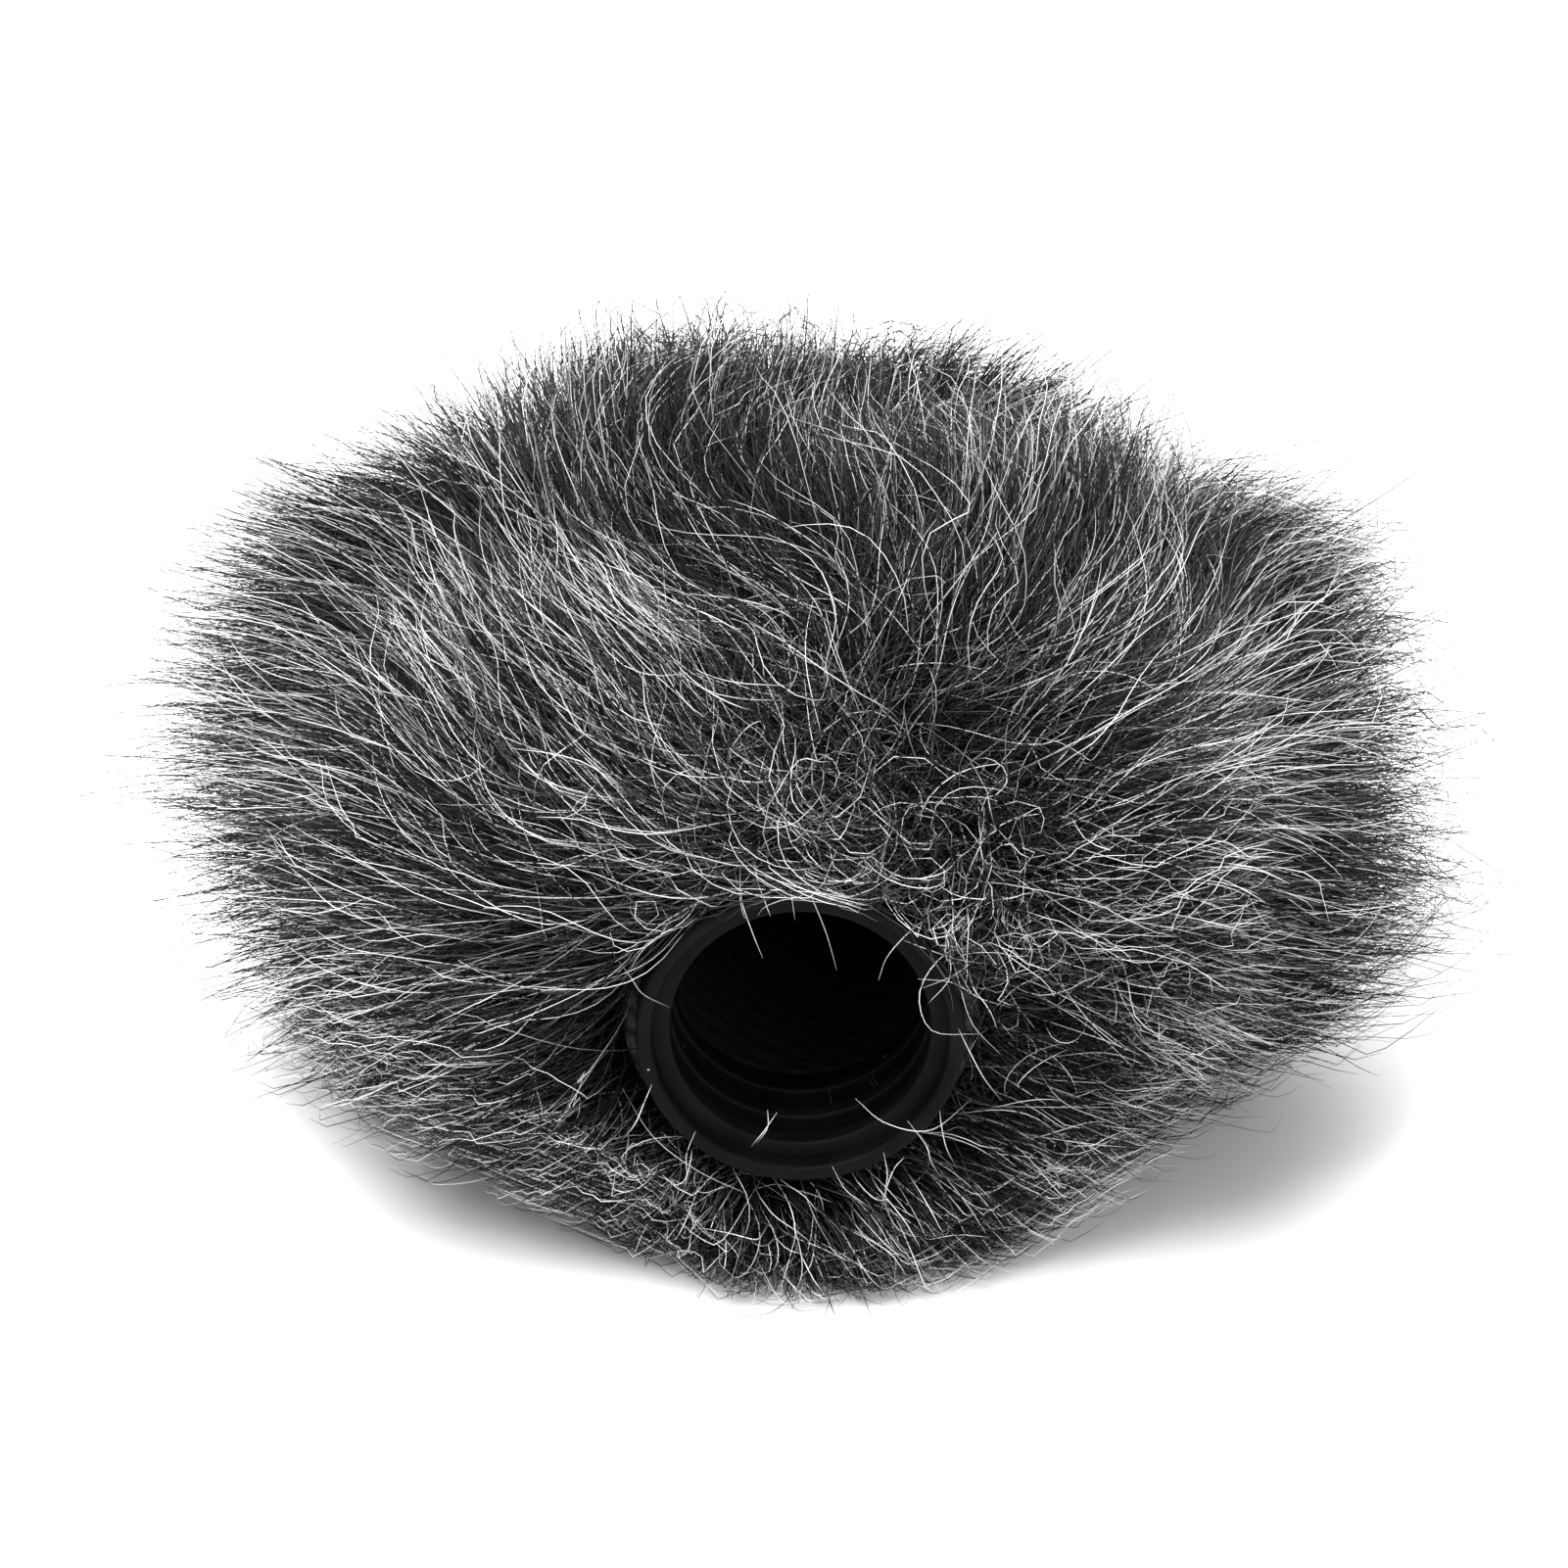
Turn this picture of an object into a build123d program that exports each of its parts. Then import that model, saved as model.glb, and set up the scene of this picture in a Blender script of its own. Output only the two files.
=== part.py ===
from build123d import *
import os

# Furry windscreen: a long-pile fur cover sewn over a knitted sock and a foam core, with a
# moulded rubber collar that grips the microphone body pushed into it. It lies on its side.
#
# Frame: the opening faces -Y, the tunnel runs along +Y and +Z is up. The origin is on the
# tunnel's axis, at the front face of the first grip rib. Radii are measured from that axis,
# and every turned section is drawn in the XY plane as (radius, y). Millimetres.

# --- driving dimensions -------------------------------------------------------------------

# Rubber collar
grip_radius = 9.5        # over the grip ribs, the size of the microphone body
gap_radius = 10.3        # between the ribs
ridge_radius = 10.1      # fine moulded ridges between the ribs
lip_radius = 10.8        # open mouth in front of the first rib
neck_radius = 12.0       # outside of the collar
lip_depth = 1.5          # from the mouth to the first rib
rib_count = 3
rib_pitch = 4.0
rib_width = 1.6
ridge_width = 0.3
ridges_per_gap = 2
collar_back = 12.0       # end of the tube inside the foam
groove_front = 2.6       # hem groove round the neck
groove_back = 5.0
groove_radius = 11.3
flange_front = 7.3       # flange glued to the foam
flange_back = 8.3
flange_radius = 15.5
lip_round = 0.5
rib_round = 0.3

# Foam core
foam_radius = 19.0
foam_corner = 2.5
nose_start = 54.0        # end of the straight foam, start of the domed nose
nose_depth = 12.0
nose_flat = 1.0          # radius of the level spot in the middle of the nose
tunnel_radius = 10.5     # hole through the foam
liner_thickness = 0.5
end_pad_thickness = 1.0

# Fabric layers over the foam
sock_thickness = 0.5
sock_front = 7.8
backing_thickness = 0.8
skirt_inner = 12.15      # short tube of backing between the hem and the front face
skirt_outer = 12.95
base_seam = 14.0         # where the front panel meets the wrap panel
nose_seam = 51.0         # where the wrap panel meets the nose panel
side_slit = 0.3          # the wrap panel's two edges meet underneath

# Hem
elastic_thickness = 1.1
binding_thickness = 0.4

# Sewing
thread_radius = 0.18
thread_sink = 0.3        # thread's centre below the outer face of the backing
seam_groove_depth = 0.5
seam_groove_width = 1.2

# Pile, as the outer shape of the fur at rest
pile_clearance = 13.6    # bare ring round the collar's neck
pile_flatness = 0.70     # height over width
floor_depth = 22.5       # tunnel axis above the surface that the fur lies on
pile_front = 2.0
pile_back = 86.0
pile_outline = [         # (radius, y) from the collar round to the middle of the nose
    (14, pile_front), (22, -3.5), (32, -3), (43, 5), (50, 18),
    (53.5, 36), (51, 53), (42, 69), (25, 82), (3, pile_back),
]

# --- derived ------------------------------------------------------------------------------

sock_radius = foam_radius + sock_thickness
backing_radius = sock_radius + backing_thickness
backing_front = flange_front - backing_thickness
thread_ring = backing_radius - thread_sink
binding_radius = elastic_thickness / 2 + binding_thickness
hem_radius = groove_radius + binding_radius
hem_y = (groove_front + groove_back) / 2
skirt_front = hem_y + binding_radius
skirt_middle = (skirt_front + backing_front) / 2
far = 200.0              # longer than the whole object, for cutting tools


# --- helpers ------------------------------------------------------------------------------

def band(r_in, r_out, y_from, y_to, mode=Mode.ADD):
    """A rectangle of a turned section, for the sketch in progress."""
    with Locations(((r_in + r_out) / 2, (y_from + y_to) / 2)):
        Rectangle(r_out - r_in, y_to - y_from, mode=mode)


def bullet(radius, front, corner, nose, mode=Mode.ADD):
    """A flat-fronted body with a domed nose, turned into the part in progress."""
    with BuildSketch(Plane.XY) as half:
        with BuildLine():
            Line((0, front), (radius - corner, front))
            CenterArc((radius - corner, front + corner), corner, -90, 90)
            Line((radius, front + corner), (radius, nose_start))
            EllipticalCenterArc((nose_flat, nose_start), radius - nose_flat, nose, arc_size=90)
            Polyline((nose_flat, nose_start + nose), (0, nose_start + nose), (0, front))
        make_face()
    revolve(half.sketch, axis=Axis.Y, mode=mode)


def drum(radius, y_from, y_to, mode=Mode.SUBTRACT):
    """A cylinder on the tunnel's axis."""
    with BuildSketch(Plane.XZ.offset(-y_from)) as disc:
        Circle(radius)
    extrude(disc.sketch, amount=-(y_to - y_from), mode=mode)


def keep_between(y_from, y_to):
    """Keep the part in progress between two planes across the tunnel."""
    split(bisect_by=Plane.XZ.offset(-y_from), keep=Keep.BOTTOM)
    split(bisect_by=Plane.XZ.offset(-y_to), keep=Keep.TOP)


def seam_groove(radius, y_middle):
    """Sink a shallow groove for a ring of thread into the part in progress."""
    half_width = seam_groove_width / 2
    with BuildSketch(Plane.XY) as section:
        band(radius - seam_groove_depth, radius + 1, y_middle - half_width, y_middle + half_width)
    revolve(section.sketch, axis=Axis.Y, mode=Mode.SUBTRACT)


def ring(section_radius, radius, y_middle, mode=Mode.ADD):
    """A round cord closed on itself round the tunnel's axis."""
    with BuildSketch(Plane.XY) as section:
        with Locations((radius, y_middle)):
            Circle(section_radius)
    revolve(section.sketch, axis=Axis.Y, mode=mode)


# --- rubber collar ------------------------------------------------------------------------

with BuildPart() as rubber_collar:
    with BuildSketch(Plane.XY) as collar_half:
        band(lip_radius, neck_radius, -lip_depth, 0)
        band(gap_radius, neck_radius, 0, collar_back)
        band(neck_radius, flange_radius, flange_front, flange_back)
        for rib in range(rib_count):
            rib_y = rib * rib_pitch
            band(grip_radius, gap_radius, rib_y, rib_y + rib_width)
            if rib < rib_count - 1:
                gap = rib_pitch - rib_width
                for ridge in range(1, ridges_per_gap + 1):
                    ridge_y = rib_y + rib_width + gap * ridge / (ridges_per_gap + 1)
                    band(ridge_radius, gap_radius, ridge_y - ridge_width / 2, ridge_y + ridge_width / 2)
        band(groove_radius, neck_radius, groove_front, groove_back, mode=Mode.SUBTRACT)
        mouth_corners = collar_half.vertices().filter_by(lambda v: v.Y < -lip_depth + 0.01)
        fillet(mouth_corners, radius=lip_round)
        rib_corners = collar_half.vertices().filter_by(lambda v: v.X < grip_radius + 0.01)
        fillet(rib_corners, radius=rib_round)
    revolve(axis=Axis.Y)

# --- hem ----------------------------------------------------------------------------------

with BuildPart() as hem_elastic:
    ring(elastic_thickness / 2, hem_radius, hem_y)

with BuildPart() as hem_binding:
    ring(binding_radius, hem_radius, hem_y)
    ring(elastic_thickness / 2, hem_radius, hem_y, mode=Mode.SUBTRACT)

with BuildPart() as hem_thread:
    ring(thread_radius, skirt_outer - thread_sink, skirt_middle)

# --- foam core and what lines it ----------------------------------------------------------

with BuildPart() as foam_core:
    with BuildSketch(Plane.XY) as core_half:
        band(tunnel_radius, foam_radius, flange_back, nose_start)
        band(tunnel_radius, neck_radius, flange_back, collar_back, mode=Mode.SUBTRACT)
        front_corner = core_half.vertices().filter_by(
            lambda v: v.X > foam_radius - 0.01 and v.Y < flange_back + 0.01)
        fillet(front_corner, radius=foam_corner)
    revolve(axis=Axis.Y)

with BuildPart() as foam_nose:
    bullet(foam_radius, flange_back, foam_corner, nose_depth)
    keep_between(nose_start, far)

with BuildPart() as tunnel_liner:
    with BuildSketch(Plane.XY):
        band(tunnel_radius - liner_thickness, tunnel_radius, collar_back, nose_start - end_pad_thickness)
    revolve(axis=Axis.Y)

with BuildPart() as tunnel_end_pad:
    drum(tunnel_radius, nose_start - end_pad_thickness, nose_start, mode=Mode.ADD)

with BuildPart() as inner_sock:
    bullet(sock_radius, sock_front, foam_corner + sock_thickness, nose_depth + sock_thickness)
    bullet(foam_radius, flange_back, foam_corner, nose_depth, mode=Mode.SUBTRACT)
    drum(flange_radius, sock_front - 1, flange_back)

# --- fur cover: knitted backing, in three panels ------------------------------------------

with BuildPart() as backing:
    corner = foam_corner + sock_thickness
    nose = nose_depth + sock_thickness
    bullet(backing_radius, backing_front, corner + backing_thickness, nose + backing_thickness)
    bullet(sock_radius, flange_front, corner, nose, mode=Mode.SUBTRACT)
    drum(skirt_inner, backing_front - 1, flange_front)

with BuildPart() as base_panel:
    add(backing.part)
    keep_between(-far, base_seam)
    with BuildSketch(Plane.XY) as skirt_half:
        band(skirt_inner, skirt_outer, skirt_front, backing_front)
    revolve(skirt_half.sketch, axis=Axis.Y)
    seam_groove(skirt_outer, skirt_middle)
    seam_groove(backing_radius, base_seam)

with BuildPart() as side_panel:
    add(backing.part)
    keep_between(base_seam, nose_seam)
    seam_groove(backing_radius, base_seam)
    seam_groove(backing_radius, nose_seam)
    for width, height in ((seam_groove_width, seam_groove_depth), (side_slit, backing_radius)):
        with BuildSketch(Plane.XY.offset(-backing_radius - 1)) as slot:
            with Locations((0, (base_seam + nose_seam) / 2)):
                Rectangle(width, nose_seam - base_seam)
        extrude(slot.sketch, amount=1 + height, mode=Mode.SUBTRACT)

with BuildPart() as nose_panel:
    add(backing.part)
    keep_between(nose_seam, far)
    seam_groove(backing_radius, nose_seam)

# --- fur cover: seams ---------------------------------------------------------------------

with BuildPart() as base_seam_thread:
    ring(thread_radius, thread_ring, base_seam)

with BuildPart() as nose_seam_thread:
    ring(thread_radius, thread_ring, nose_seam)

side_seam_start = base_seam + seam_groove_width / 2

with BuildPart() as side_seam_thread:
    with BuildSketch(Plane.XZ.offset(-side_seam_start)):
        with Locations((0, -thread_ring)):
            Circle(thread_radius)
    extrude(amount=-(nose_seam - base_seam - seam_groove_width))

# --- fur cover: pile, one solid for each panel --------------------------------------------

with BuildPart() as fur:
    with BuildSketch(Plane.XY) as fur_half:
        with BuildLine():
            Spline(*pile_outline, tangents=[(1, -0.9), (-1, 0)])
            Polyline(pile_outline[-1], (0, pile_back), (0, pile_front), pile_outline[0])
        make_face()
    revolve(fur_half.sketch, axis=Axis.Y)
    scale(by=(1, 1, pile_flatness))
    split(bisect_by=Plane.XY.offset(-floor_depth), keep=Keep.TOP)
    bullet(backing_radius, backing_front, foam_corner + sock_thickness + backing_thickness,
           nose_depth + sock_thickness + backing_thickness, mode=Mode.SUBTRACT)
    drum(pile_clearance, -far, backing_front)

with BuildPart() as base_pile:
    add(fur.part)
    keep_between(-far, base_seam)

with BuildPart() as side_pile:
    add(fur.part)
    keep_between(base_seam, nose_seam)

with BuildPart() as nose_pile:
    add(fur.part)
    keep_between(nose_seam, far)

# --- names and files ----------------------------------------------------------------------

pieces = {
    "rubber_collar": rubber_collar,
    "hem_elastic": hem_elastic,
    "hem_binding": hem_binding,
    "hem_thread": hem_thread,
    "foam_core": foam_core,
    "foam_nose": foam_nose,
    "tunnel_liner": tunnel_liner,
    "tunnel_end_pad": tunnel_end_pad,
    "inner_sock": inner_sock,
    "base_panel": base_panel,
    "side_panel": side_panel,
    "nose_panel": nose_panel,
    "base_seam_thread": base_seam_thread,
    "nose_seam_thread": nose_seam_thread,
    "side_seam_thread": side_seam_thread,
    "base_pile": base_pile,
    "side_pile": side_pile,
    "nose_pile": nose_pile,
}

os.makedirs("parts", exist_ok=True)
for label, piece in pieces.items():
    piece.part.label = label
    export_step(piece.part, f"parts/{label}.step")
    print(f"{label:18} {piece.part.volume:10.1f} mm3")
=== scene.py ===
from math import pi

import bpy
import numpy as np
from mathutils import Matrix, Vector


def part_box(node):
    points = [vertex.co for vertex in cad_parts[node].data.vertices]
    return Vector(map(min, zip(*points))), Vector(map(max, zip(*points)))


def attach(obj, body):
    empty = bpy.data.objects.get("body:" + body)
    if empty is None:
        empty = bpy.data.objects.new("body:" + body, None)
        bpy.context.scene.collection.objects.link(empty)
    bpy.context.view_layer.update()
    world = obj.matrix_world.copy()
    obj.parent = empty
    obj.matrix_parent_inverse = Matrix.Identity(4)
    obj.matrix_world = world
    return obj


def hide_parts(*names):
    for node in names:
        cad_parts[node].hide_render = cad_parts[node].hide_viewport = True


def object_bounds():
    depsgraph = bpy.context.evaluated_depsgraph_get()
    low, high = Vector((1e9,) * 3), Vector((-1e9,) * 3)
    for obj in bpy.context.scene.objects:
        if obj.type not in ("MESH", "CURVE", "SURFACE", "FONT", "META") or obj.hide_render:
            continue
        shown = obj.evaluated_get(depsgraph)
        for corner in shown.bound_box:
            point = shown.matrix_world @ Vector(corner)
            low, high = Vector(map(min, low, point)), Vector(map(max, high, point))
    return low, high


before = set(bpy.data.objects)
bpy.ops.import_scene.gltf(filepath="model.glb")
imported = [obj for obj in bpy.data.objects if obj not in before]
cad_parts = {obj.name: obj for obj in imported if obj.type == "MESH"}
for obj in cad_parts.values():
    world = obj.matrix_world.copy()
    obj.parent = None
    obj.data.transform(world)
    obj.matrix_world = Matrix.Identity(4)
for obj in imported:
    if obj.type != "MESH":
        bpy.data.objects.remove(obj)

cad_low, cad_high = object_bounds()
rng = np.random.default_rng(20)
MM = 0.001

# --- places, all from the frame (metres) ---------------------------------------------------

side_low, side_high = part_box("side_panel")
pile_low, pile_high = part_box("side_pile")

FLOOR = cad_low[2]                           # the surface that the fur lies on
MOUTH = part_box("rubber_collar")[0][1]        # front of the collar's lip
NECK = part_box("hem_binding")[1][0]           # fur starts outside the hem
BARE = NECK - 1.2 * MM                       # the collar's neck, which fur keeps off

# The fur's backing: its outer radius, its front face and rounded corner, its seams, its nose
BACKING = side_high[0]
BASE_SEAM, NOSE_SEAM = side_low[1], side_high[1]
FRONT = BASE_SEAM - 7.5 * MM
CORNER = 3.8 * MM
CORNER_INSET = CORNER * 0.29                 # how far the rounding takes off the sharp corner
NOSE_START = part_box("foam_core")[1][1]
NOSE_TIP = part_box("nose_panel")[1][1]

# The coat, which is the outer shape that the fur lies along
COAT_WIDTH = pile_high[0]                    # half its width
COAT_HEIGHT = 0.84 * pile_high[2]            # its height over the axis
COAT_DEPTH = 1.1 * abs(FLOOR)                # how far under the axis it would reach uncrushed
COAT_MIDDLE = (pile_low[1] + pile_high[1]) / 2   # where it is widest
COAT_FRONT = cad_low[1] - 4 * MM             # where it closes in front
COAT_BACK = cad_high[1] + 3 * MM             # and behind
TIPS_BACK = cad_high[1] + 2 * MM             # behind this, fibres are pressed together
BOXY, ROUND = 3.3, 1.7                       # how square it is above the axis, and below it
PLAN_FRONT, PLAN_BACK, BACK_RISE = 2.2, 2.5, 3   # the same for its outline from above and aside
BACK_SLOPE = 0.35                            # share of its height that it loses behind
LEFT_RISE = 0.1                              # it is higher on the left by this share
UNDERCUT = 8 * MM                            # depth under the axis at which it is fully round
TUFT = 5 * MM                                # middle of the tuft that hangs under the collar
TUFT_WIDTH = 17 * MM                         # half the tuft's width
TUFT_SHARE = 0.78                            # how far the tuft fills the coat's full depth


# --- camera, light and floor ---------------------------------------------------------------

ELEVATION = 26.0                             # the camera's, in degrees
DISTANCE = 0.45
VIEW_WIDTH = 0.1144                          # width of the view at the target
TARGET = Vector((-0.0012, 0.0078, 0.0161))
SENSOR = 36.0
SKY = 0.58
SOFTBOXES = (                                # name, place, size, watts
    ("key", (-0.25, -0.2, 0.75), (0.5, 0.5), 13.0),
    ("back", (0.2, 0.7, 0.6), (0.6, 0.4), 8.0),
    ("front", (0.3, -0.7, 0.35), (0.5, 0.3), 2.5),
)
FLOOR_HALF = 3.0
FLOOR_GAP = 0.05 * MM
FLOOR_GREY = 0.93


def look(obj, target):
    """Turn a camera or lamp to face a point."""
    obj.rotation_euler = (Vector(target) - obj.location).to_track_quat("-Z", "Y").to_euler()


def camera():
    elevation = np.radians(ELEVATION)
    data = bpy.data.cameras.new("camera")
    data.sensor_width = SENSOR
    data.lens = SENSOR * DISTANCE / VIEW_WIDTH
    data.clip_start, data.clip_end = 0.01, 10.0
    obj = bpy.data.objects.new("camera", data)
    obj.location = TARGET + DISTANCE * Vector((0, -np.cos(elevation), np.sin(elevation)))
    look(obj, TARGET)
    bpy.context.collection.objects.link(obj)
    bpy.context.scene.camera = obj


def softbox(name, place, size, power):
    data = bpy.data.lights.new(name, "AREA")
    data.shape = "RECTANGLE"
    data.size, data.size_y = size
    data.energy = power
    obj = bpy.data.objects.new(name, data)
    obj.location = place
    look(obj, (0, 0.04, 0))
    bpy.context.collection.objects.link(obj)


def studio():
    world = bpy.data.worlds.new("studio")
    world.use_nodes = True
    sky = world.node_tree.nodes["Background"]
    sky.inputs["Color"].default_value = (1, 1, 1, 1)
    sky.inputs["Strength"].default_value = SKY
    bpy.context.scene.world = world
    for lamp in SOFTBOXES:
        softbox(*lamp)
    bpy.context.scene.view_settings.view_transform = "Standard"

    mesh = bpy.data.meshes.new("floor")
    s, z = FLOOR_HALF, FLOOR - FLOOR_GAP
    mesh.from_pydata([(-s, -s, z), (s, -s, z), (s, s, z), (-s, s, z)], [], [(0, 1, 2, 3)])
    floor = bpy.data.objects.new("floor", mesh)
    bpy.context.collection.objects.link(floor)
    material = bpy.data.materials.new("pale_floor")
    material.use_nodes = True
    shader = material.node_tree.nodes["Principled BSDF"]
    shader.inputs["Base Color"].default_value = (FLOOR_GREY, FLOOR_GREY, FLOOR_GREY, 1)
    shader.inputs["Roughness"].default_value = 0.6
    mesh.materials.append(material)


# --- materials -----------------------------------------------------------------------------

TONES = 64                                   # different tones that fibres may have


class Nodes:
    """A material's node tree, with short ways to add and join nodes."""

    def __init__(self, name, roughness, **sockets):
        self.material = bpy.data.materials.new(name)
        self.material.use_nodes = True
        self.tree = self.material.node_tree
        self.shader = self.tree.nodes["Principled BSDF"]
        self.shader.inputs["Roughness"].default_value = roughness
        for socket, value in sockets.items():
            self.shader.inputs[socket.replace("_", " ")].default_value = value

    def add(self, kind, links=None, **settings):
        node = self.tree.nodes.new(kind)
        for key, value in settings.items():
            if hasattr(node, key):
                setattr(node, key, value)
            else:
                node.inputs[key.replace("_", " ")].default_value = value
        for socket, source in (links or {}).items():
            self.tree.links.new(source, node.inputs[socket])
        return node

    def ramp(self, factor, stops):
        """Colour stops, each a place from 0 to 1 with a grey or a colour."""
        node = self.add("ShaderNodeValToRGB", {"Fac": factor})
        elements = node.color_ramp.elements
        while len(elements) < len(stops):
            elements.new(0.5)
        for element, (place, grey) in zip(elements, stops):
            element.position = place
            element.color = (*(grey if isinstance(grey, tuple) else (grey,) * 3), 1)
        return node.outputs["Color"]

    def colour(self, output):
        self.tree.links.new(output, self.shader.inputs["Base Color"])

    def bump(self, height, distance, strength=1.0):
        node = self.add("ShaderNodeBump", {"Height": height}, Distance=distance, Strength=strength)
        self.tree.links.new(node.outputs["Normal"], self.shader.inputs["Normal"])


def object_point(nodes):
    return nodes.add("ShaderNodeTexCoord").outputs["Object"]


def rubber():
    """Moulded black rubber: fine matt grain, faint bloom and a few specks of lint."""
    m = Nodes("moulded_rubber", 0.55, Specular_IOR_Level=0.05)
    point = object_point(m)
    bloom = m.add("ShaderNodeTexNoise", {"Vector": point}, Scale=260.0, Detail=4.0)
    specks = m.add("ShaderNodeTexVoronoi", {"Vector": point}, Scale=420.0)
    body = m.ramp(bloom.outputs["Fac"], [(0.3, 0.0015), (0.7, 0.004)])
    lint = m.ramp(specks.outputs["Distance"], [(0.035, 1.0), (0.05, 0.0)])
    mix = m.add("ShaderNodeMix", {"Factor": lint}, data_type="RGBA")
    grain = m.add("ShaderNodeTexNoise", {"Vector": point}, Scale=2600.0, Detail=3.0)
    m.tree.links.new(body, mix.inputs[6])
    mix.inputs[7].default_value = (0.25, 0.25, 0.25, 1)
    m.colour(mix.outputs[2])
    m.bump(grain.outputs["Fac"], 0.00006, 0.5)
    return m.material


def knit(name, dark, light, pitch):
    """Knitted cloth: crossed ribs at the pitch of its wales, with a soft sheen."""
    m = Nodes(name, 0.9, Specular_IOR_Level=0.15)
    point = object_point(m)
    warp = m.add("ShaderNodeTexWave", {"Vector": point}, bands_direction="DIAGONAL",
                 Scale=1 / (pitch * 6), Distortion=1.5)
    weft = m.add("ShaderNodeTexVoronoi", {"Vector": point}, Scale=1 / pitch)
    both = m.add("ShaderNodeMath", operation="MULTIPLY")
    m.tree.links.new(warp.outputs["Fac"], both.inputs[0])
    m.tree.links.new(weft.outputs["Distance"], both.inputs[1])
    m.colour(m.ramp(both.outputs[0], [(0.0, dark), (0.5, light)]))
    m.bump(both.outputs[0], pitch * 0.3)
    return m.material


def open_foam():
    """Open-cell foam: a charcoal skeleton, with painted shade in its pores."""
    m = Nodes("open_cell_foam", 0.95)
    point = object_point(m)
    cells = m.add("ShaderNodeTexVoronoi", {"Vector": point}, Scale=1500.0)
    # painted shade: each pore, near the middle of its cell, is painted darker than the charcoal
    # skeleton around it
    m.colour(m.ramp(cells.outputs["Distance"], [(0.1, 0.008), (0.55, 0.06)]))
    m.bump(cells.outputs["Distance"], 0.0003)
    return m.material


def twisted_thread():
    """Polyester thread or cord: fine diagonal ply lines."""
    m = Nodes("twisted_thread", 0.5, Sheen_Weight=0.2)
    ply = m.add("ShaderNodeTexWave", {"Vector": object_point(m)}, bands_direction="DIAGONAL",
                Scale=900.0, Distortion=0.5)
    m.colour(m.ramp(ply.outputs["Fac"], [(0.2, 0.015), (0.8, 0.05)]))
    m.bump(ply.outputs["Fac"], 0.00008)
    return m.material


def hair(name, roughness, gloss, stops, tones):
    """Fibre: its grey runs from root to tip along V, and its own tone is read from U."""
    m = Nodes(name, roughness, Specular_IOR_Level=gloss)
    place = m.add("ShaderNodeUVMap", uv_map="OFBake")
    split = m.add("ShaderNodeSeparateXYZ", {"Vector": place.outputs["UV"]})
    tone = m.add("ShaderNodeTexWhiteNoise", noise_dimensions="1D")
    steps = m.add("ShaderNodeMath", operation="MULTIPLY")
    m.tree.links.new(split.outputs["X"], steps.inputs[0])
    steps.inputs[1].default_value = TONES
    whole = m.add("ShaderNodeMath", {0: steps.outputs[0]}, operation="FLOOR")
    m.tree.links.new(whole.outputs[0], tone.inputs["W"])
    shade = m.ramp(tone.outputs["Value"], tones)
    along = m.ramp(split.outputs["Y"], stops)
    mix = m.add("ShaderNodeMix", data_type="RGBA", blend_type="MULTIPLY")
    mix.inputs["Factor"].default_value = 1.0
    m.tree.links.new(along, mix.inputs[6])
    m.tree.links.new(shade, mix.inputs[7])
    m.colour(mix.outputs[2])
    return m.material


def finish_cad_nodes():
    """Give every CAD node that stays visible its finish."""
    finishes = {
        "rubber_collar": rubber(),
        "hem_elastic": twisted_thread(),
        "hem_binding": knit("woven_binding", 0.008, 0.035, 0.0005),
        "foam_core": open_foam(),
        "tunnel_liner": knit("mesh_liner", 0.001, 0.006, 0.0008),
        "inner_sock": knit("spacer_knit", 0.01, 0.05, 0.0007),
        "base_panel": knit("fur_backing", 0.006, 0.03, 0.0006),
    }
    same = {"hem_thread": "hem_elastic", "base_seam_thread": "hem_elastic",
            "nose_seam_thread": "hem_elastic", "side_seam_thread": "hem_elastic",
            "foam_nose": "foam_core", "tunnel_end_pad": "tunnel_liner",
            "side_panel": "base_panel", "nose_panel": "base_panel"}
    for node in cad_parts:
        material = finishes.get(node) or finishes.get(same.get(node))
        if material:
            for slot in bpy.data.objects[node].material_slots:
                slot.material = material


# --- fur -----------------------------------------------------------------------------------

def unit(v):
    """Vectors of length one, along the last axis."""
    return v / np.maximum(np.linalg.norm(v, axis=-1, keepdims=True), 1e-9)


class Swirl:
    """A smooth vector field that turns neighbouring fibres the same way."""

    def __init__(self, wavelength, count=6):
        direction = unit(rng.normal(size=(count, 3)))
        self.waves = direction * 2 * pi / (wavelength * rng.uniform(0.7, 1.4, (count, 1)))
        self.phases = rng.uniform(0, 2 * pi, (count, 3))
        self.gain = (2.0 / count) ** 0.5

    def __call__(self, p):
        angle = p @ self.waves.T
        return self.gain * np.sin(angle[..., :, None] + self.phases).sum(axis=-2)


broad = Swirl(38 * MM)
fine = Swirl(11 * MM)
FINE_SHARE = 0.6                             # strength of the fine swirl, at a fibre's tip

WAVES = (9, 28)                              # shortest and longest wave of a fibre, in mm
SPLAY_LOW = 0.35                             # sideways spread of the fur under the axis
DIVERGE = 0.8 * BACKING                      # closer to the nose's middle, fur stands straighter
PART_REACH = 9 * MM                          # width of the parting along the base seam
PART_ASIDE = 0.25                            # strength of the parting at the sides and below
FILL, FILL_SPREAD, FILL_STRAY = 0.8, 0.28, 0.17  # shares of the coat that fibres may fill
FLOOR_PILE = (0.15, 1.4)                     # height of fibres that lie on the floor, in mm
KEEP = 0.5                                   # how much of its heading a fibre keeps at a step
FOLLOW = 0.6                                 # how much it follows what it lies on

AHEAD = 2.5 * MM                             # how far fur may stand out in front of the mouth
AHEAD_LOW = 0.3                              # how fast it recedes under the collar
AHEAD_ASIDE = 0.35                           # and beside the tuft
FEATHER = 12 * MM                            # raggedness of the tuft's front edge
PRESS, PRESS_BACK = 0.4, 0.35                # share left of what stands out in front or behind


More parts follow.
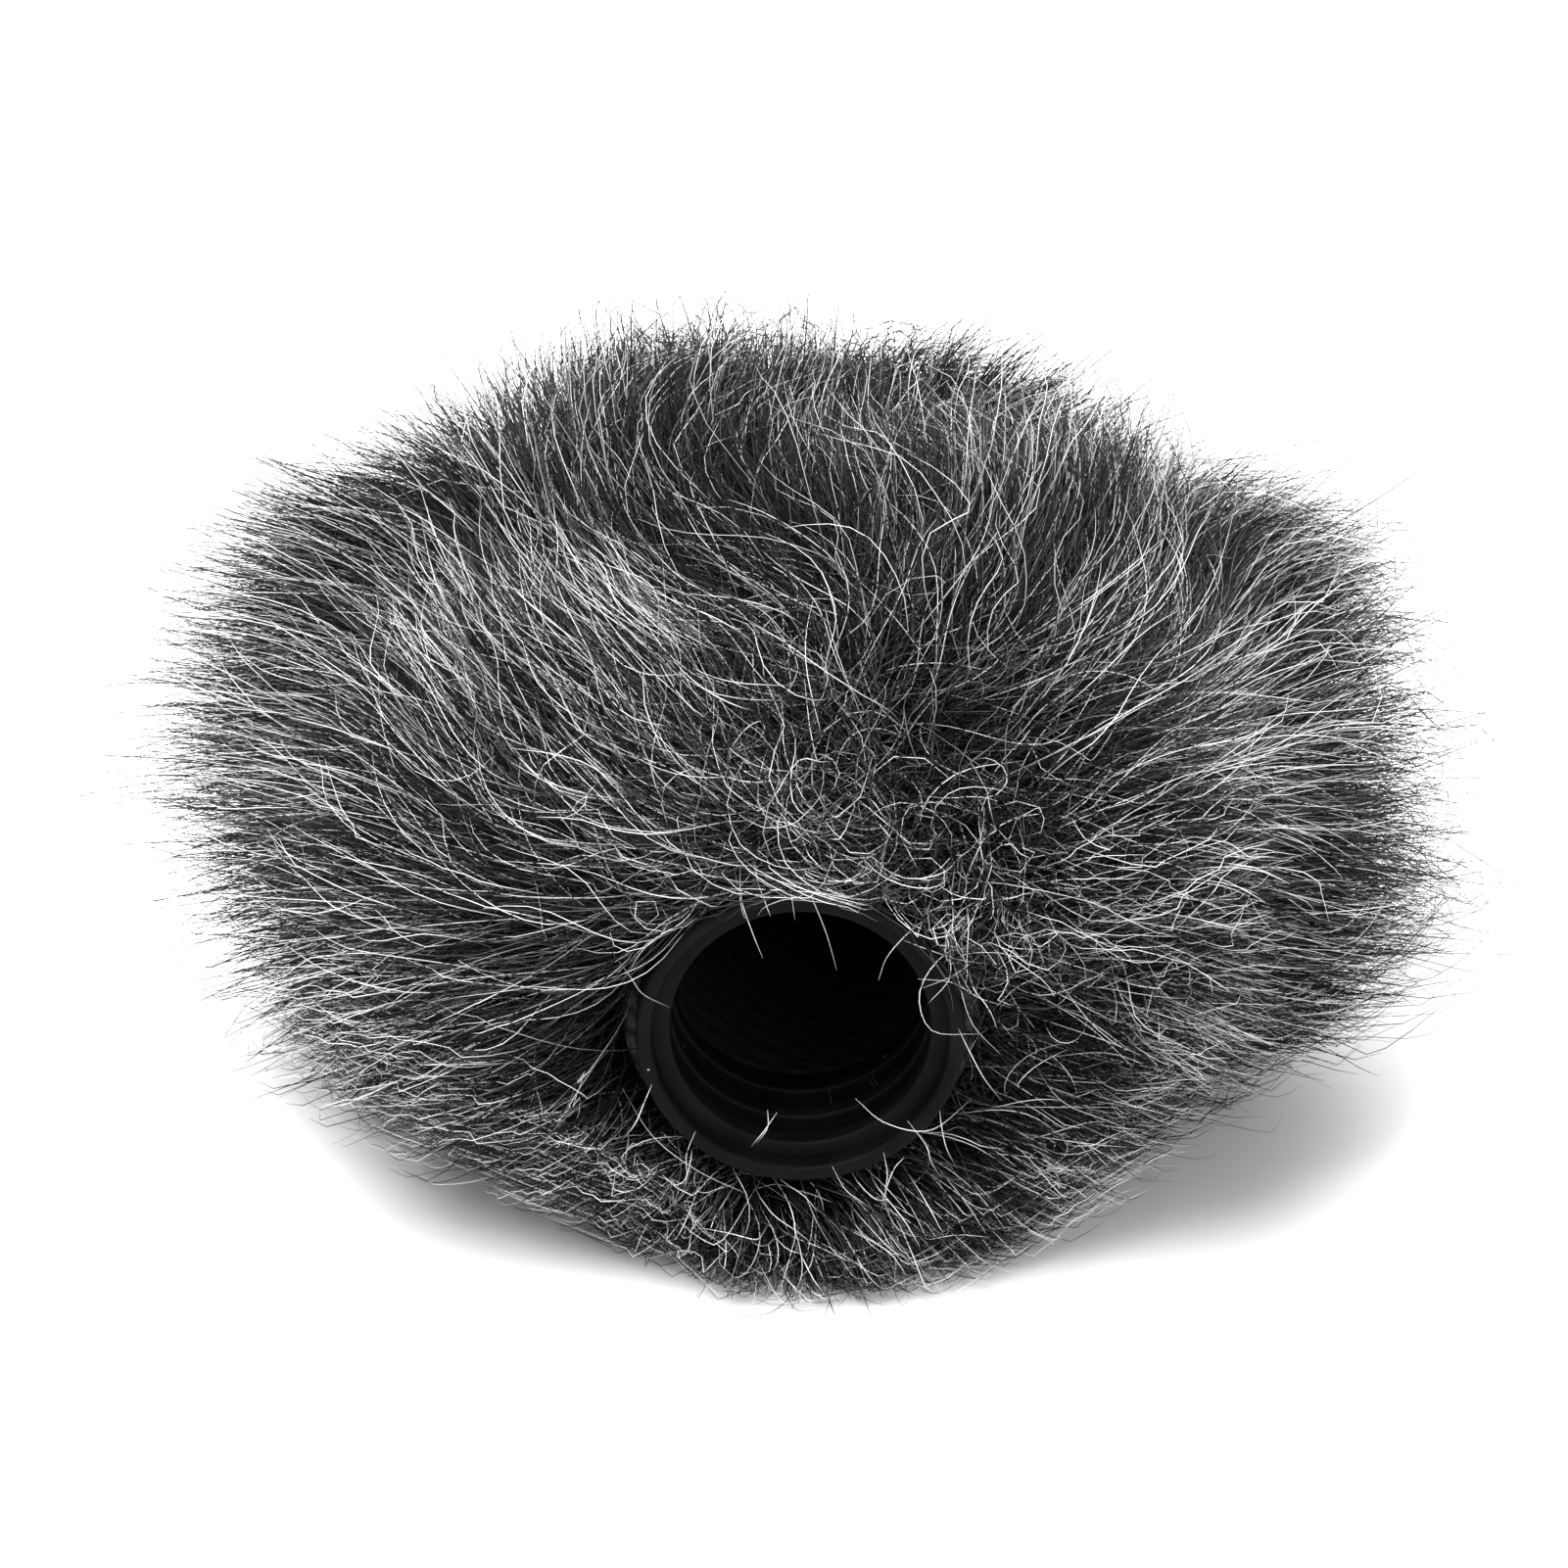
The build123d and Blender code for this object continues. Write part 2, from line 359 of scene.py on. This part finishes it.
def surface_points(panel, count):
    """Random roots on a panel's backing: points, normals and directions away from the axis."""
    turn = rng.uniform(0, 2 * pi, count)
    pick = rng.uniform(0, 1, count)
    if panel == "base":
        face_area = BACKING ** 2 - NECK ** 2
        side_area = 2 * BACKING * (BASE_SEAM - FRONT)
        on_face = pick < face_area / (face_area + side_area)
        along = rng.uniform(0, 1, count)
        radius = np.where(on_face, np.sqrt(NECK ** 2 + along * face_area), BACKING)
        y = np.where(on_face, FRONT, FRONT + along * (BASE_SEAM - FRONT))
        outward = np.clip((radius - BACKING + CORNER) / CORNER, 0, 1)
        forward = np.clip((FRONT + CORNER - y) / CORNER, 0, 1)
        tilt = np.where(on_face, outward * 0.25 * pi, pi / 2 - forward * 0.25 * pi)
        inset = CORNER_INSET * np.sin(2 * np.clip(tilt, 0, pi / 2))
        rounded = np.where((tilt > 0) & (tilt < pi / 2), inset, 0)
        radius, y = radius - rounded, y + rounded
    elif panel == "side":
        radius = np.full(count, BACKING)
        y = BASE_SEAM + pick * (NOSE_SEAM - BASE_SEAM)
        tilt = np.full(count, pi / 2)
    else:
        depth = NOSE_TIP - NOSE_START
        rise = np.arccos(1 - pick)
        radius = BACKING * np.sin(rise)
        y = NOSE_START + depth * np.cos(rise)
        tilt = pi - np.arctan2(np.sin(rise) / BACKING, np.cos(rise) / depth)
    ring = np.stack([np.cos(turn), np.zeros(count), np.sin(turn)], axis=-1)
    point = ring * radius[:, None] + np.array([0, 1, 0]) * y[:, None]
    normal = ring * np.sin(tilt)[:, None] - np.array([0, 1, 0]) * np.cos(tilt)[:, None]
    return point, normal, ring


def grow(point, normal, ring, length, style, segments):
    """Grow fibres step by step from their roots, and return their points (count, steps, 3)."""
    count = len(point)
    step = (length / segments)[:, None]
    path = np.empty((count, segments + 1, 3))
    path[:, 0] = point
    here = point.copy()
    heading = normal.copy()
    tilt_own = rng.normal(size=(count, 3)) * style["scatter"]
    wave_side = unit(np.cross(rng.normal(size=(count, 3)), normal))
    wave_up = np.cross(wave_side, normal)
    wave_rate = 2 * pi / (rng.uniform(*WAVES, count) * MM)
    wave_phase = rng.uniform(0, 2 * pi, count)
    curl = rng.gamma(1.3, style["curl"] / 1.3, count)[:, None]
    high = np.clip(ring[:, 2:], 0, 1)
    low = np.clip(-ring[:, 2:], 0, 1)
    off_axis = np.minimum(np.hypot(point[:, 0], point[:, 2]) / DIVERGE, 1)[:, None]
    off_axis = np.where(point[:, 1:2] > NOSE_SEAM, off_axis, 1)
    near_seam = np.exp(-np.abs(point[:, 1] - BASE_SEAM) / PART_REACH)
    comb = style["out"] * ring * off_axis * np.array([1.0, 1.0, style["tall"]])
    comb = comb + np.array([0, 1.0, 0]) * (style["back"] + style["top_back"] * high)
    comb[:, 0] += SPLAY_LOW * low[:, 0] * np.sign(ring[:, 0] + 0.02)
    comb[:, 0] -= style["lean"] * high[:, 0]
    comb[:, 1] -= style["fore"] * low[:, 0] ** 2
    comb[:, 1] += style["part"] * (PART_ASIDE + (1 - PART_ASIDE) * high[:, 0]) * near_seam
    down = np.array([0, 0, -1.0])
    limit = rng.uniform(0, 1, count)
    limit = FILL + FILL_SPREAD * limit + FILL_STRAY * limit ** 8
    rest = rng.uniform(*FLOOR_PILE, count) * MM
    for k in range(1, segments + 1):
        s = k / segments
        bend = min(1.0, s * style["bend"])
        want = (1 - bend) * normal + bend * comb + style["droop"] * s * down
        want = want + style["swirl"] * (broad(here) + FINE_SHARE * s * fine(here)) + tilt_own
        angle = (wave_rate * length * s + wave_phase)[:, None]
        want = want + curl * (np.cos(angle) * wave_side + np.sin(angle) * wave_up)
        heading = unit(KEEP * heading + (1 - KEEP) * unit(want))
        moved = settle(here + heading * step, s, limit, rest)
        heading = unit((1 - FOLLOW) * heading + FOLLOW * unit(moved - here))
        here = moved
        path[:, k] = here
    return path


def coat_size(y):
    """Shares of its full width, height and lower width that the coat has at y."""
    ahead = np.clip((COAT_MIDDLE - y) / (COAT_MIDDLE - COAT_FRONT), 0, 0.99)
    behind = np.clip((y - COAT_MIDDLE) / (COAT_BACK - COAT_MIDDLE), 0, 0.99)
    front = (1 - ahead ** PLAN_FRONT) ** (1 / PLAN_FRONT)
    width = np.where(ahead > 0, front, (1 - behind ** PLAN_BACK) ** (1 / PLAN_BACK))
    slope = 1 - BACK_SLOPE * behind ** 1.5
    height = np.where(ahead > 0, front, (1 - behind ** BACK_RISE) ** (1 / BACK_RISE) * slope)
    lower = np.where(ahead > 0, (1 - ahead ** ROUND) ** (1 / ROUND), width)
    return width, height, lower


def coat_reach(here):
    """How far out a point is, as a share of the coat: square above the axis, round below."""
    width, height, lower = coat_size(here[:, 1])
    sunk = np.clip(-here[:, 2] / UNDERCUT, 0, 1)
    across = np.abs(here[:, 0]) / (COAT_WIDTH * (width + sunk * (lower - width)))
    left = 1 - LEFT_RISE * here[:, 0] / COAT_WIDTH
    upward = np.abs(here[:, 2]) / (COAT_HEIGHT * height * left)
    middle = TUFT_SHARE * np.exp(-((here[:, 0] - TUFT) / TUFT_WIDTH) ** 4)
    downward = np.abs(here[:, 2]) / (COAT_DEPTH * (width + middle * (1 - width)))
    above = (across ** BOXY + upward ** BOXY) ** (1 / BOXY)
    below = (across ** ROUND + downward ** ROUND) ** (1 / ROUND)
    return np.where(here[:, 2] > 0, above, below)


def settle(here, s, limit, rest):
    """Lay fibres along the coat's outer shape, and keep them off the backing, collar and floor."""
    here = here.copy()
    reach = coat_reach(here)
    past = np.maximum(reach - limit, 0)
    here[:, [0, 2]] *= (1 - 0.5 * past / np.maximum(reach, 0.5))[:, None]
    here[:, 1] += 0.35 * past * COAT_WIDTH * (here[:, 1] < COAT_MIDDLE)
    radius = np.hypot(here[:, 0], here[:, 2])
    on_backing, on_neck = BACKING + (0.2 + 0.8 * s) * MM, BARE + (0.1 + 0.5 * s) * MM
    room = np.where(here[:, 1] > FRONT, on_backing, on_neck)
    room = np.where(here[:, 1] > NOSE_START, 0, room)
    push = np.where(radius < room, room / np.maximum(radius, 1e-6), 1.0)
    here[:, 0] *= push
    here[:, 2] *= push
    front = MOUTH - AHEAD + AHEAD_LOW * np.maximum(-here[:, 2] - BARE, 0)
    beside = np.maximum(np.abs(here[:, 0] - TUFT) - TUFT_WIDTH, 0)
    ragged = (limit - 0.9) * FEATHER
    front = front + (AHEAD_ASIDE * beside - ragged) * np.clip(-here[:, 2] / BARE, 0, 1)
    ahead = here[:, 1] < front
    here[ahead, 1] = front[ahead] + PRESS * (here[ahead, 1] - front[ahead])
    pressed = TIPS_BACK + PRESS_BACK * (here[:, 1] - TIPS_BACK)
    here[:, 1] = np.minimum(here[:, 1], pressed)
    here[:, 2] = np.maximum(here[:, 2], FLOOR + rest)
    return here


TAPER = 0.8                                  # share of a fibre's thickness lost at its tip


def tubes(name, path, radius, material, node):
    """Closed three-sided tubes along the fibres, as one mesh that rides on the body."""
    count, rings, _ = path.shape
    along = unit(np.gradient(path, axis=1))
    side = unit(np.cross(along, np.array([0.31, 0.12, 0.94])))
    up = np.cross(along, side)
    s = np.linspace(0, 1, rings)
    taper = radius[:, None] * (1 - TAPER * s[None] ** 3)
    corners = []
    for corner in range(3):
        a = 2 * pi * corner / 3
        corners.append(path + taper[..., None] * (np.cos(a) * side + np.sin(a) * up))
    verts = np.stack(corners, axis=2)                      # count, rings, 3, xyz
    index = np.arange(count * rings * 3).reshape(count, rings, 3)
    nxt = np.roll(index, -1, axis=2)
    quads = np.stack([index[:, :-1], nxt[:, :-1], nxt[:, 1:], index[:, 1:]], axis=-1)
    quads = quads.reshape(count, -1, 4)
    caps = np.stack([index[:, 0, ::-1], index[:, -1]], axis=1)   # count, 2, 3
    per = quads.shape[1]
    loops = np.concatenate([quads.reshape(count, -1), caps.reshape(count, -1)], axis=1)
    sizes = np.concatenate([np.full(per, 4), np.full(2, 3)])
    sizes = np.tile(sizes, count)
    starts = np.concatenate([[0], np.cumsum(sizes)[:-1]])
    mesh = bpy.data.meshes.new(name)
    mesh.vertices.add(count * rings * 3)
    mesh.vertices.foreach_set("co", verts.astype(np.float32).ravel())
    mesh.loops.add(loops.size)
    mesh.loops.foreach_set("vertex_index", loops.astype(np.int32).ravel())
    mesh.polygons.add(len(sizes))
    mesh.polygons.foreach_set("loop_start", starts.astype(np.int32))
    mesh.update(calc_edges=True)
    tone = rng.integers(0, TONES, count)
    ring_of = (loops // 3) % rings
    corner_of = loops % 3
    u = (tone[:, None] + 0.25 + 0.25 * corner_of) / TONES
    v = 0.01 + 0.98 * ring_of / (rings - 1)
    layer = mesh.uv_layers.new(name="OFBake")
    layer.data.foreach_set("uv", np.stack([u, v], axis=-1).astype(np.float32).ravel())
    mesh.polygons.foreach_set("use_smooth", np.ones(len(sizes), dtype=bool))
    mesh.materials.append(material)
    obj = bpy.data.objects.new(name, mesh)
    bpy.context.collection.objects.link(obj)
    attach(obj, "root")
    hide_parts(node)


# How each panel's fur lies. The direction that it is combed in: out from the axis, tall the share
# of that upward, back all round, top_back on top, fore under the axis, lean to the left on top,
# part behind the base seam. bend is how soon a fibre turns to it, under how much shorter it is
# under the axis, scatter how far each fibre goes its own way.
PANELS = {
    "base": dict(out=1.1, tall=0.58, back=-0.05, top_back=0.0, fore=0.7, lean=0.3, under=0.35,
                 part=-0.1, bend=3.2, droop=0.15, swirl=0.26, scatter=0.34, curl=0.36),
    "side": dict(out=0.9, tall=0.75, back=0.3, top_back=0.5, fore=0.0, lean=0.0, under=0.1,
                 part=0.9, bend=1.8, droop=0.25, swirl=0.3, scatter=0.22, curl=0.24),
    "nose": dict(out=0.8, tall=0.7, back=0.5, top_back=0.2, fore=0.0, lean=0.0, under=0.1,
                 part=0.0, bend=1.8, droop=0.3, swirl=0.3, scatter=0.22, curl=0.24),
}
# length, then fibres and segments of the guard hair, then of the underfur
COAT = {"base": (26.5 * MM, 12000, 14, 14000, 8),
        "side": (35 * MM, 13000, 10, 22000, 6),
        "nose": (31 * MM, 5000, 9, 8000, 5)}
UNDER_LENGTH = 0.85      # the underfur's length, as a share of the guard hair's
GUARD_RADIUS = 0.047 * MM
UNDER_RADIUS = 0.06 * MM
STRAY_RADIUS = 0.045 * MM
LOCK = 12                # fibres in a lock
PIECE_FACES = 190000     # triangles in one piece, at most


def locks(panel, count, length, segments, spread, gather, style):
    """Fibres in locks: each lock's fibres start close together and draw together at the tip."""
    heads = max(1, count // LOCK)
    point, normal, ring = surface_points(panel, heads)
    each = rng.integers(0, heads, count)
    lean = (rng.normal(size=(heads, 3)) * style["scatter"])[each]
    shift = rng.normal(size=(count, 3)) * spread
    own_normal = unit(normal[each] + lean)
    own_point = point[each] + shift - (shift * normal[each]).sum(-1, keepdims=True) * normal[each]
    own_point[:, 2] = np.maximum(own_point[:, 2], FLOOR + 0.5 * MM)
    patch = 1 + 0.2 * broad(own_point)[:, 0]
    lengths = length * patch * rng.uniform(0.65, 1.1, count)
    lengths *= 1 + style["under"] * np.minimum(ring[each, 2], 0)
    path = grow(own_point, own_normal, ring[each], lengths, style, segments)
    middle = np.zeros((heads, segments + 1, 3))
    np.add.at(middle, each, path)
    middle /= np.maximum(np.bincount(each, minlength=heads), 1)[:, None, None]
    pull = gather * np.linspace(0, 1, segments + 1)[None, :, None]
    pull = pull * rng.uniform(0.2, 1, (count, 1, 1))
    return path + pull * (middle[each] - path)


def fur(panel):
    """Grow a panel's guard hair and underfur, cut into pieces of limited size."""
    style = PANELS[panel]
    length, guards, guard_steps, unders, under_steps = COAT[panel]
    coats = (
        ("guard", GUARD, GUARD_RADIUS, guard_steps,
         locks(panel, guards, length, guard_steps, 1.8 * MM, 0.35, style)),
        ("under", UNDER, UNDER_RADIUS, under_steps,
         locks(panel, unders, UNDER_LENGTH * length, under_steps, 1.3 * MM, 0.5, style)),
    )
    for kind, material, thick, steps, path in coats:
        radius = thick * rng.uniform(0.75, 1.2, len(path))
        per = PIECE_FACES // (6 * steps + 2)
        for number, start in enumerate(range(0, len(path), per)):
            chunk = slice(start, start + per)
            tubes(f"{panel}_{kind}_hair_{number + 1}", path[chunk], radius[chunk], material,
                  f"{panel}_pile")


# Loose hairs across the collar's mouth: points in millimetres from the middle of the lip,
# as (right, out of the mouth, up)
STRAYS = [
    [(-4.3, 0.3, 15.0), (-4.3, 1.8, 12.6), (-3.5, 1.9, 9.8), (-2.7, 1.6, 7.4)],
    [(-0.4, 0.3, 15.4), (0.6, 1.8, 13.0), (1.8, 2.0, 9.8), (2.6, 1.8, 6.6)],
    [(10.8, 0.4, 11.4), (8.2, 1.6, 10.0), (6.3, 1.8, 7.8), (5.6, 1.5, 5.6)],
    [(13.5, 0.0, 7.5), (10.5, 1.8, 8.0), (8.6, 2.0, 5.0), (9.5, 1.5, 1.5), (13.0, 0.2, 0.5)],
    [(12.5, 0.0, -5.0), (9.5, 1.4, -6.8), (6.2, 1.4, -6.2), (4.0, 1.0, -4.4)],
    [(-3.6, 0.6, -8.6), (-2.6, 1.0, -7.0), (-1.7, 0.9, -5.6)],
    [(-3.2, 0.5, -8.4), (-2.4, 0.8, -6.9), (-2.4, 0.7, -5.5)],
    [(-13.0, 0.2, -4.0), (-10.8, 0.9, -7.6), (-7.6, 1.0, -10.4), (-4.0, 0.6, -12.6)],
    [(-12.8, 0.2, 5.0), (-11.0, 1.2, 8.4), (-8.2, 1.4, 10.6), (-6.5, 0.6, 13.4)],
    [(10.0, 0.4, 10.4), (11.2, 1.2, 6.2), (12.4, 1.2, 2.0), (14.5, 0.4, -1.0)],
]


RIM_HAIRS = 16
STRAY_STEPS = 16


def rim_hairs():
    """Short hairs that reach over the lip all round it, as points like those of STRAYS."""
    hairs = []
    for turn in rng.uniform(0, 2 * pi, RIM_HAIRS):
        reach, slide = rng.uniform(9.6, 12.2), rng.uniform(-0.5, 0.5)
        course = ((0, 15.5, 0.2), (0.3, 13.6, 1.2), (0.7, 12.2, 1.4), (1, reach, 1.0))
        hairs.append([(r * np.cos(turn + slide * t), out, r * np.sin(turn + slide * t))
                      for t, r, out in course])
    return hairs


def stray_hairs():
    """Single loose hairs that cross the collar, each on one smooth curve."""
    paths = []
    for points in STRAYS + rim_hairs():
        knots = np.array([(x, -out, up) for x, out, up in points]) * MM + np.array([0, MOUTH, 0])
        knots = np.concatenate([[2 * knots[0] - knots[1]], knots, [2 * knots[-1] - knots[-2]]])
        spans = len(points) - 1
        t = np.linspace(0, spans - 1e-6, STRAY_STEPS + 1)
        i, f = t.astype(int), (t % 1)[:, None]
        a, b, c, d = knots[i], knots[i + 1], knots[i + 2], knots[i + 3]
        paths.append(0.5 * (2 * b + (c - a) * f + (2 * a - 5 * b + 4 * c - d) * f ** 2
                            + (3 * b - a - 3 * c + d) * f ** 3))
    path = np.array(paths)
    tubes("stray_hairs", path, np.full(len(path), STRAY_RADIUS), STRAY, "base_pile")


GUARD = hair("silver_guard_hair", 0.35, 0.5,
             [(0.15, 0.02), (0.38, 0.1), (0.58, 0.6), (0.75, 0.95)],
             [(0.3, (0.012, 0.0105, 0.01)), (0.5, (0.1, 0.097, 0.096)),
              (0.6, (0.985, 0.975, 0.985))])
STRAY = hair("silver_stray_hair", 0.35, 0.5,
             [(0.1, 0.06), (0.45, 0.85)],
             [(0.0, 0.5), (1.0, 1.0)])
UNDER = hair("charcoal_underfur", 0.6, 0.15,
             [(0.0, 0.25), (0.5, 0.6), (1.0, 1.0)],
             [(0.1, (0.0025, 0.002, 0.0018)), (0.6, (0.006, 0.005, 0.0046)),
              (1.0, (0.022, 0.0195, 0.0185))])

camera()
studio()
finish_cad_nodes()
for panel in PANELS:
    fur(panel)
stray_hairs()
